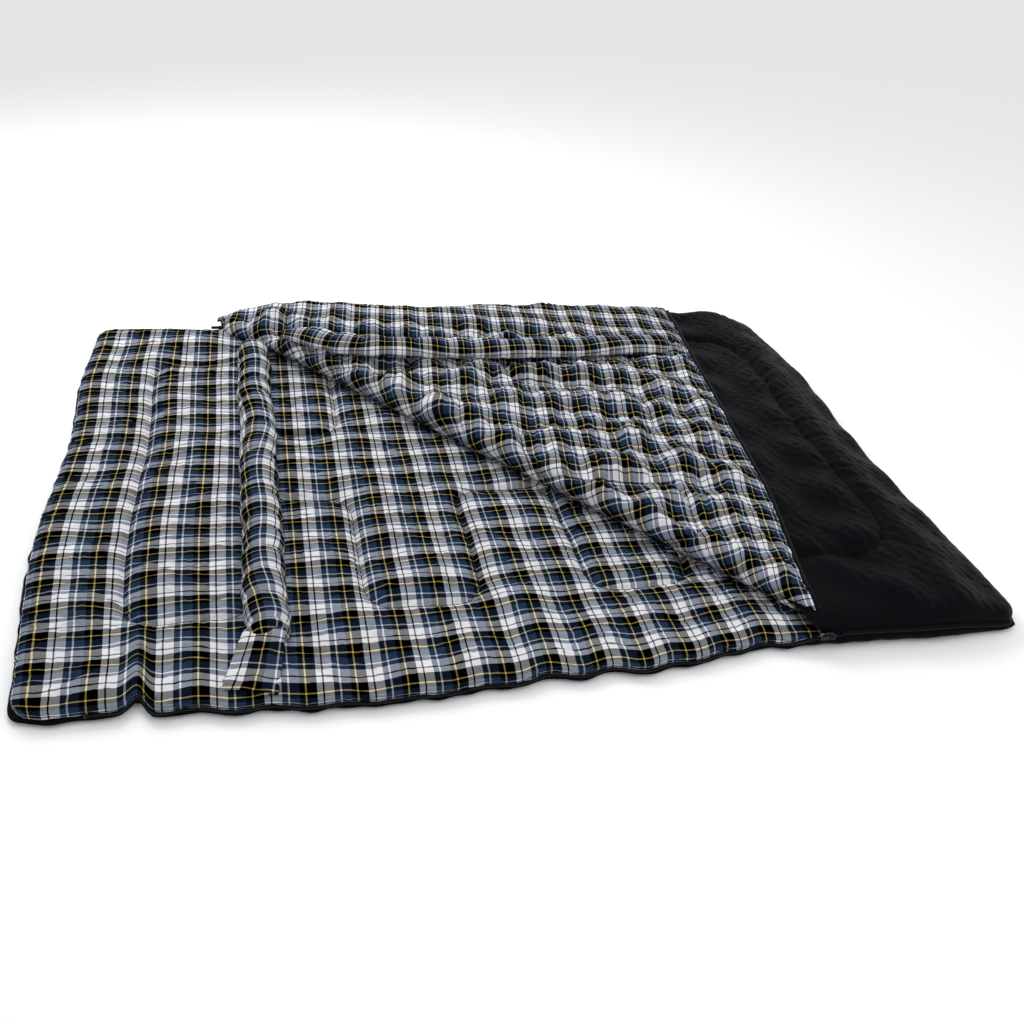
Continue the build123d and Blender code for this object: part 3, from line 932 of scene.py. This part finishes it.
def join_grids(name, grids, material):
    """One object from several grids of points, whose cut coordinates run along and round each grid."""
    points, faces, cuts, first = [], [], [], 0
    for grid in grids:
        rows, columns = grid.shape[:2]
        steps = np.linalg.norm(np.diff(grid[:, 0], axis=0), axis=1)
        along = np.concatenate([[0], np.cumsum(steps)])
        S, V = np.meshgrid(along, np.arange(columns) * 0.002, indexing="ij")
        points.append(grid.reshape(-1, 3))
        cuts.append(point_list(S, V))
        faces.append(grid_faces((rows, columns)) + first)
        first += rows * columns
    points, faces, cut = (np.concatenate(parts) for parts in (points, faces, cuts))
    return mesh_object(name, points, faces, cut, material)[0]


def quilting_thread(name, lines, cloth):
    """Thread lying in the quilting valleys of a finished cloth."""
    mesh = cloth.data
    cut = vertex_cut(mesh)
    points = vertex_array(mesh)
    tree = kdtree.KDTree(len(cut))
    for index, place in enumerate(cut):
        tree.insert((place[0], place[1], 0), index)
    tree.balance()
    grids = []
    for line in lines:
        run = []
        for place in list(line) + [None]:
            near = None
            if place is not None:
                _, index, gap = tree.find((place[0], place[1], 0))
                near = points[index] if gap < cell else None
            if near is not None:
                run.append(near)
                continue
            if len(run) > 6:
                path = np.array(run)
                for _ in range(3):
                    path[1:-1] = (path[:-2] + 2 * path[1:-1] + path[2:]) / 4
                apart = np.linalg.norm(np.diff(path, axis=0), axis=1) > 1e-4
                grids.append(tube_points(path[np.concatenate([[True], apart])], THREAD_RADIUS, 5))
            run = []
    return join_grids(name, grids, THREAD)


def side_path(side, x_start, x_end, step=0.008):
    """The bottom layer's hem line down one side (-1 is the right side), and the way out from it."""
    X = np.arange(x_start, x_end, step)
    x, y, _ = plan_and_rise(X, np.full_like(X, side * HALF_WIDTH))
    return np.stack([x, y, hem_height(x, y)], axis=1), np.tile([0.0, side, 0.0], (len(x), 1))


def strip(path, out, inner, outer, thick=0.0010):
    """A flat tape along a path, from inner to outer, each given as (out from the path, up)."""
    up = np.array([0, 0, 1.0])
    corners = [
        path + out * inner[0] + up * inner[1],
        path + out * outer[0] + up * outer[1],
        path + out * (outer[0] + thick) + up * (outer[1] - thick),
        path + out * (inner[0] + thick) + up * (inner[1] - thick),
    ]
    return np.stack(corners + corners[:1], axis=1)


def zip_strips():
    """Tapes and coils down both sides: apart where the zip is open, side by side where it is closed."""
    made = {}
    for side, word, closed_x in ((-1, "right", RIGHT_CLOSED_X), (1, "left", LEFT_CLOSED_X)):
        path, out = side_path(side, ZIP_HEAD_X, ZIP_FOOT_X)
        made[word + "_tape_bottom"] = strip(path, out, (-0.003, 0.001), (0.007, 0.003)), TAPE
        opened, out_open = side_path(side, ZIP_HEAD_X, closed_x)
        coil = opened + out_open * 0.008 + np.array([0, 0, 0.003])
        made[word + "_coil_open"] = tube_points(coil, COIL_RADIUS, 8), COIL
        closed, out_closed = side_path(side, closed_x, ZIP_FOOT_X)
        closed[:, 2] += ZIP_Z - CLOSED_HEM_Z
        made[word + "_tape_top"] = strip(closed, out_closed, (-0.003, 0.008), (ZIP_OUT, 0.001)), TAPE
        coil = closed + out_closed * (ZIP_OUT + 0.001)
        made[word + "_coil_closed"] = tube_points(coil, COIL_RADIUS, 8), COIL
    X = np.arange(FLAP_HEAD_X + 0.03, FOLD_POINT[0] + 0.72, 0.008)
    surface, _, _ = folded(X, np.full_like(X, -HALF_WIDTH), depth=0.019)
    surface = surface[::-1]
    run = np.gradient(surface, axis=0)
    out = np.cross(run, [0, 0, 1.0])
    out /= np.linalg.norm(out, axis=1, keepdims=True)
    made["right_tape_flap"] = strip(surface, out, (-0.004, 0.001), (0.007, 0.001)), TAPE
    coil = surface + out * 0.008 + np.array([0, 0, 0.001])
    made["right_coil_flap"] = tube_points(coil, COIL_RADIUS, 8), COIL
    return {key: join_grids("zip_" + key, [placed(grid)], cloth) for key, (grid, cloth) in made.items()}


def zip_stops():
    """Small metal stops clamped over the ends of the coils."""
    grids = []
    for side in (-1, 1):
        for x in (ZIP_HEAD_X, ZIP_FOOT_X):
            path, out = side_path(side, x - 0.003, x + 0.004, 0.002)
            if x > 0:
                path[:, 2] += ZIP_Z - CLOSED_HEM_Z
            grids.append(placed(tube_points(path + out * 0.007 + np.array([0, 0, 0.002]), 0.0034, 8)))
    return join_grids("zip_end_stops", grids, METAL)


def foot_binding():
    """The strip of shell cloth that closes the foot seam."""
    Y = np.arange(-HALF_WIDTH + 0.075, HALF_WIDTH - 0.075, 0.010)
    x, y, _ = plan_and_rise(np.full_like(Y, HALF_LENGTH), Y)
    path = np.stack([x, y, hem_height(x, y) + ZIP_Z - CLOSED_HEM_Z], axis=1)
    out = np.tile([1.0, 0, 0], (len(x), 1))
    tape = strip(path, out, (-0.002, 0.010), (-0.001, -0.009), 0.0015)
    return join_grids("foot_seam_strip", [placed(tape)], TAPE)


# ---------------------------------------------------------------------------------------------------------
# Camera, light and floor
# ---------------------------------------------------------------------------------------------------------
CAMERA_PLACE = (-0.6206, -2.4943, 1.5554)
CAMERA_YAW = 15.825
CAMERA_PITCH = 34.185
CAMERA_ROLL = 5.702
CAMERA_LENS = 35.65


def make_camera():
    data = bpy.data.cameras.new("camera")
    data.lens = CAMERA_LENS
    data.sensor_width = 36.0
    camera = bpy.data.objects.new("camera", data)
    bpy.context.scene.collection.objects.link(camera)
    aim = Matrix.Rotation(math.radians(-CAMERA_YAW), 4, "Z") @ Matrix.Rotation(
        math.radians(90 - CAMERA_PITCH), 4, "X"
    )
    camera.matrix_world = Matrix.Translation(CAMERA_PLACE) @ aim @ Matrix.Rotation(
        math.radians(CAMERA_ROLL), 4, "Z"
    )
    bpy.context.scene.camera = camera


def area_light(name, place, target, size, energy):
    data = bpy.data.lights.new(name, "AREA")
    data.shape = "RECTANGLE"
    data.size, data.size_y = size
    data.energy = energy
    light = bpy.data.objects.new(name, data)
    light.location = place
    light.rotation_euler = (Vector(target) - Vector(place)).to_track_quat("-Z", "Y").to_euler()
    bpy.context.scene.collection.objects.link(light)


def make_studio():
    floor_mesh = bpy.data.meshes.new("floor")
    reach = 30.0
    floor_mesh.from_pydata(
        [(-reach, -reach, 0), (reach, -reach, 0), (reach, reach, 0), (-reach, reach, 0)], [], [(0, 1, 2, 3)]
    )
    floor = bpy.data.objects.new("floor", floor_mesh)
    bpy.context.scene.collection.objects.link(floor)
    white = plain_material("floor_white", (0.90, 0.90, 0.90), 1.0, grain_scale=900.0, grain=0.0)
    floor_mesh.materials.append(white)
    world = bpy.data.worlds.new("studio")
    world.use_nodes = True
    background = world.node_tree.nodes["Background"]
    background.inputs[0].default_value = (0.97, 0.98, 1.0, 1)
    background.inputs[1].default_value = 0.90
    bpy.context.scene.world = world
    area_light("key", (-1.2, 2.2, 2.6), (0.1, 0.0, 0.0), (2.2, 1.6), 70)
    area_light("fill", (1.6, -2.2, 2.4), (0.0, 0.0, 0.0), (2.5, 2.0), 20)
    bpy.context.scene.view_settings.view_transform = "Standard"


# ---------------------------------------------------------------------------------------------------------
# Pieces: which body each rides on, and which parts of the CAD model it stands for
# ---------------------------------------------------------------------------------------------------------
def split_mesh(obj, name, chosen):
    """Moves the chosen faces of obj into a new object."""
    mesh = obj.data
    faces = np.array([polygon.vertices[:] for polygon in mesh.polygons])
    points = vertex_array(mesh)
    cut = vertex_cut(mesh)
    normals = vertex_normals(mesh)
    made = []
    for part_name, part in ((name, chosen), (obj.name, ~chosen)):
        part_obj, used = mesh_object(part_name + "_part", points, faces[part], cut, mesh.materials[0])
        part_obj.data.normals_split_custom_set_from_vertices(normals[used])
        made.append(part_obj)
    kept_name = obj.name
    bpy.data.objects.remove(obj)
    made[0].name, made[1].name = name, kept_name
    return made


def cloth_m(obj):
    """The distance from the fold of each face's middle, from its cut coordinates."""
    mesh = obj.data
    cut = np.zeros(len(mesh.loops) * 2, np.float32)
    mesh.uv_layers["cut"].data.foreach_get("uv", cut)
    middle = cut.reshape(-1, 4, 2).mean(axis=1)
    return fold_coordinates(middle[:, 0], middle[:, 1])[1]


def on_bag(obj, slot, *nodes):
    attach(obj, "bag")
    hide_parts(*nodes)


def on_flap(obj, slot, *nodes):
    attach(obj, "flap")
    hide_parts(*nodes)


make_camera()
make_studio()

lower_liner = bottom_liner()
subdivide(lower_liner)
wrinkle(lower_liner, 0.0018, 11, across=0.017)
on_bag(quilting_thread("bottom_quilting_thread", BOTTOM_STITCHES, lower_liner), "shell_fabric")
on_bag(lower_liner, "plaid_flannel", "bottom_liner", "bottom_fill")
lower_shell = bottom_shell()
on_bag(lower_shell, "shell_fabric", "bottom_shell")

upper_liner = top_liner()
subdivide(upper_liner)
wrinkle(upper_liner, 0.0015, 21)
roll, upper_liner = split_mesh(upper_liner, "fold_plaid_roll", cloth_m(upper_liner) < ROLL_HALF)
on_flap(upper_liner, "plaid_flannel", "flap_liner", "flap_fill")
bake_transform(roll)
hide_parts("top_fold")

for cloth, thread_name in ((roll, "fold_quilting_thread"), (upper_liner, "flap_quilting_thread")):
    thread = quilting_thread(thread_name, TOP_STITCHES, cloth)
    if cloth is roll:
        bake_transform(thread)
    else:
        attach(thread, "flap")

foot_shell = top_shell_foot()
subdivide(foot_shell)
on_bag(foot_shell, "shell_fabric", "top_shell", "top_fill")
foot_liner = top_liner_foot()
on_bag(foot_liner, "plaid_flannel", "top_liner")
folded_shell = flap_shell()
on_flap(folded_shell, "shell_fabric", "flap_shell")
crease = crease_shell()
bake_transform(crease)

neck_roll = bottom_neck_roll()
on_bag(neck_roll, "plaid_flannel", "bottom_neck_roll_cover", "bottom_neck_roll_fill")
tab = neck_roll_tab()
on_bag(tab, "plaid_flannel", "bottom_neck_roll_tab")
flap_roll = flap_neck_roll()
on_flap(flap_roll, "plaid_flannel", "flap_neck_roll_cover", "flap_neck_roll_fill")

strips = zip_strips()
for side in ("right", "left"):
    on_bag(strips[side + "_tape_bottom"], "zip_tape", side + "_zip_tape_bottom")
    on_bag(strips[side + "_tape_top"], "zip_tape", side + "_zip_tape_top")
    on_bag(strips[side + "_coil_open"], "zip_coil", side + "_zip_coil_bottom")
    on_bag(strips[side + "_coil_closed"], "zip_coil", side + "_zip_coil_closed")
on_flap(strips["right_tape_flap"], "zip_tape", "right_zip_tape_flap")
on_flap(strips["right_coil_flap"], "zip_coil", "right_zip_coil_flap")
on_bag(zip_stops(), "zip_metal", "zip_top_stops_bottom", "zip_bottom_stops")
on_bag(foot_binding(), "zip_tape", "foot_seam_binding")

for node_name, node in frame["nodes"].items():
    if "slider" in node_name or "pull" in node_name:
        node.data.materials.clear()
        node.data.materials.append(METAL)
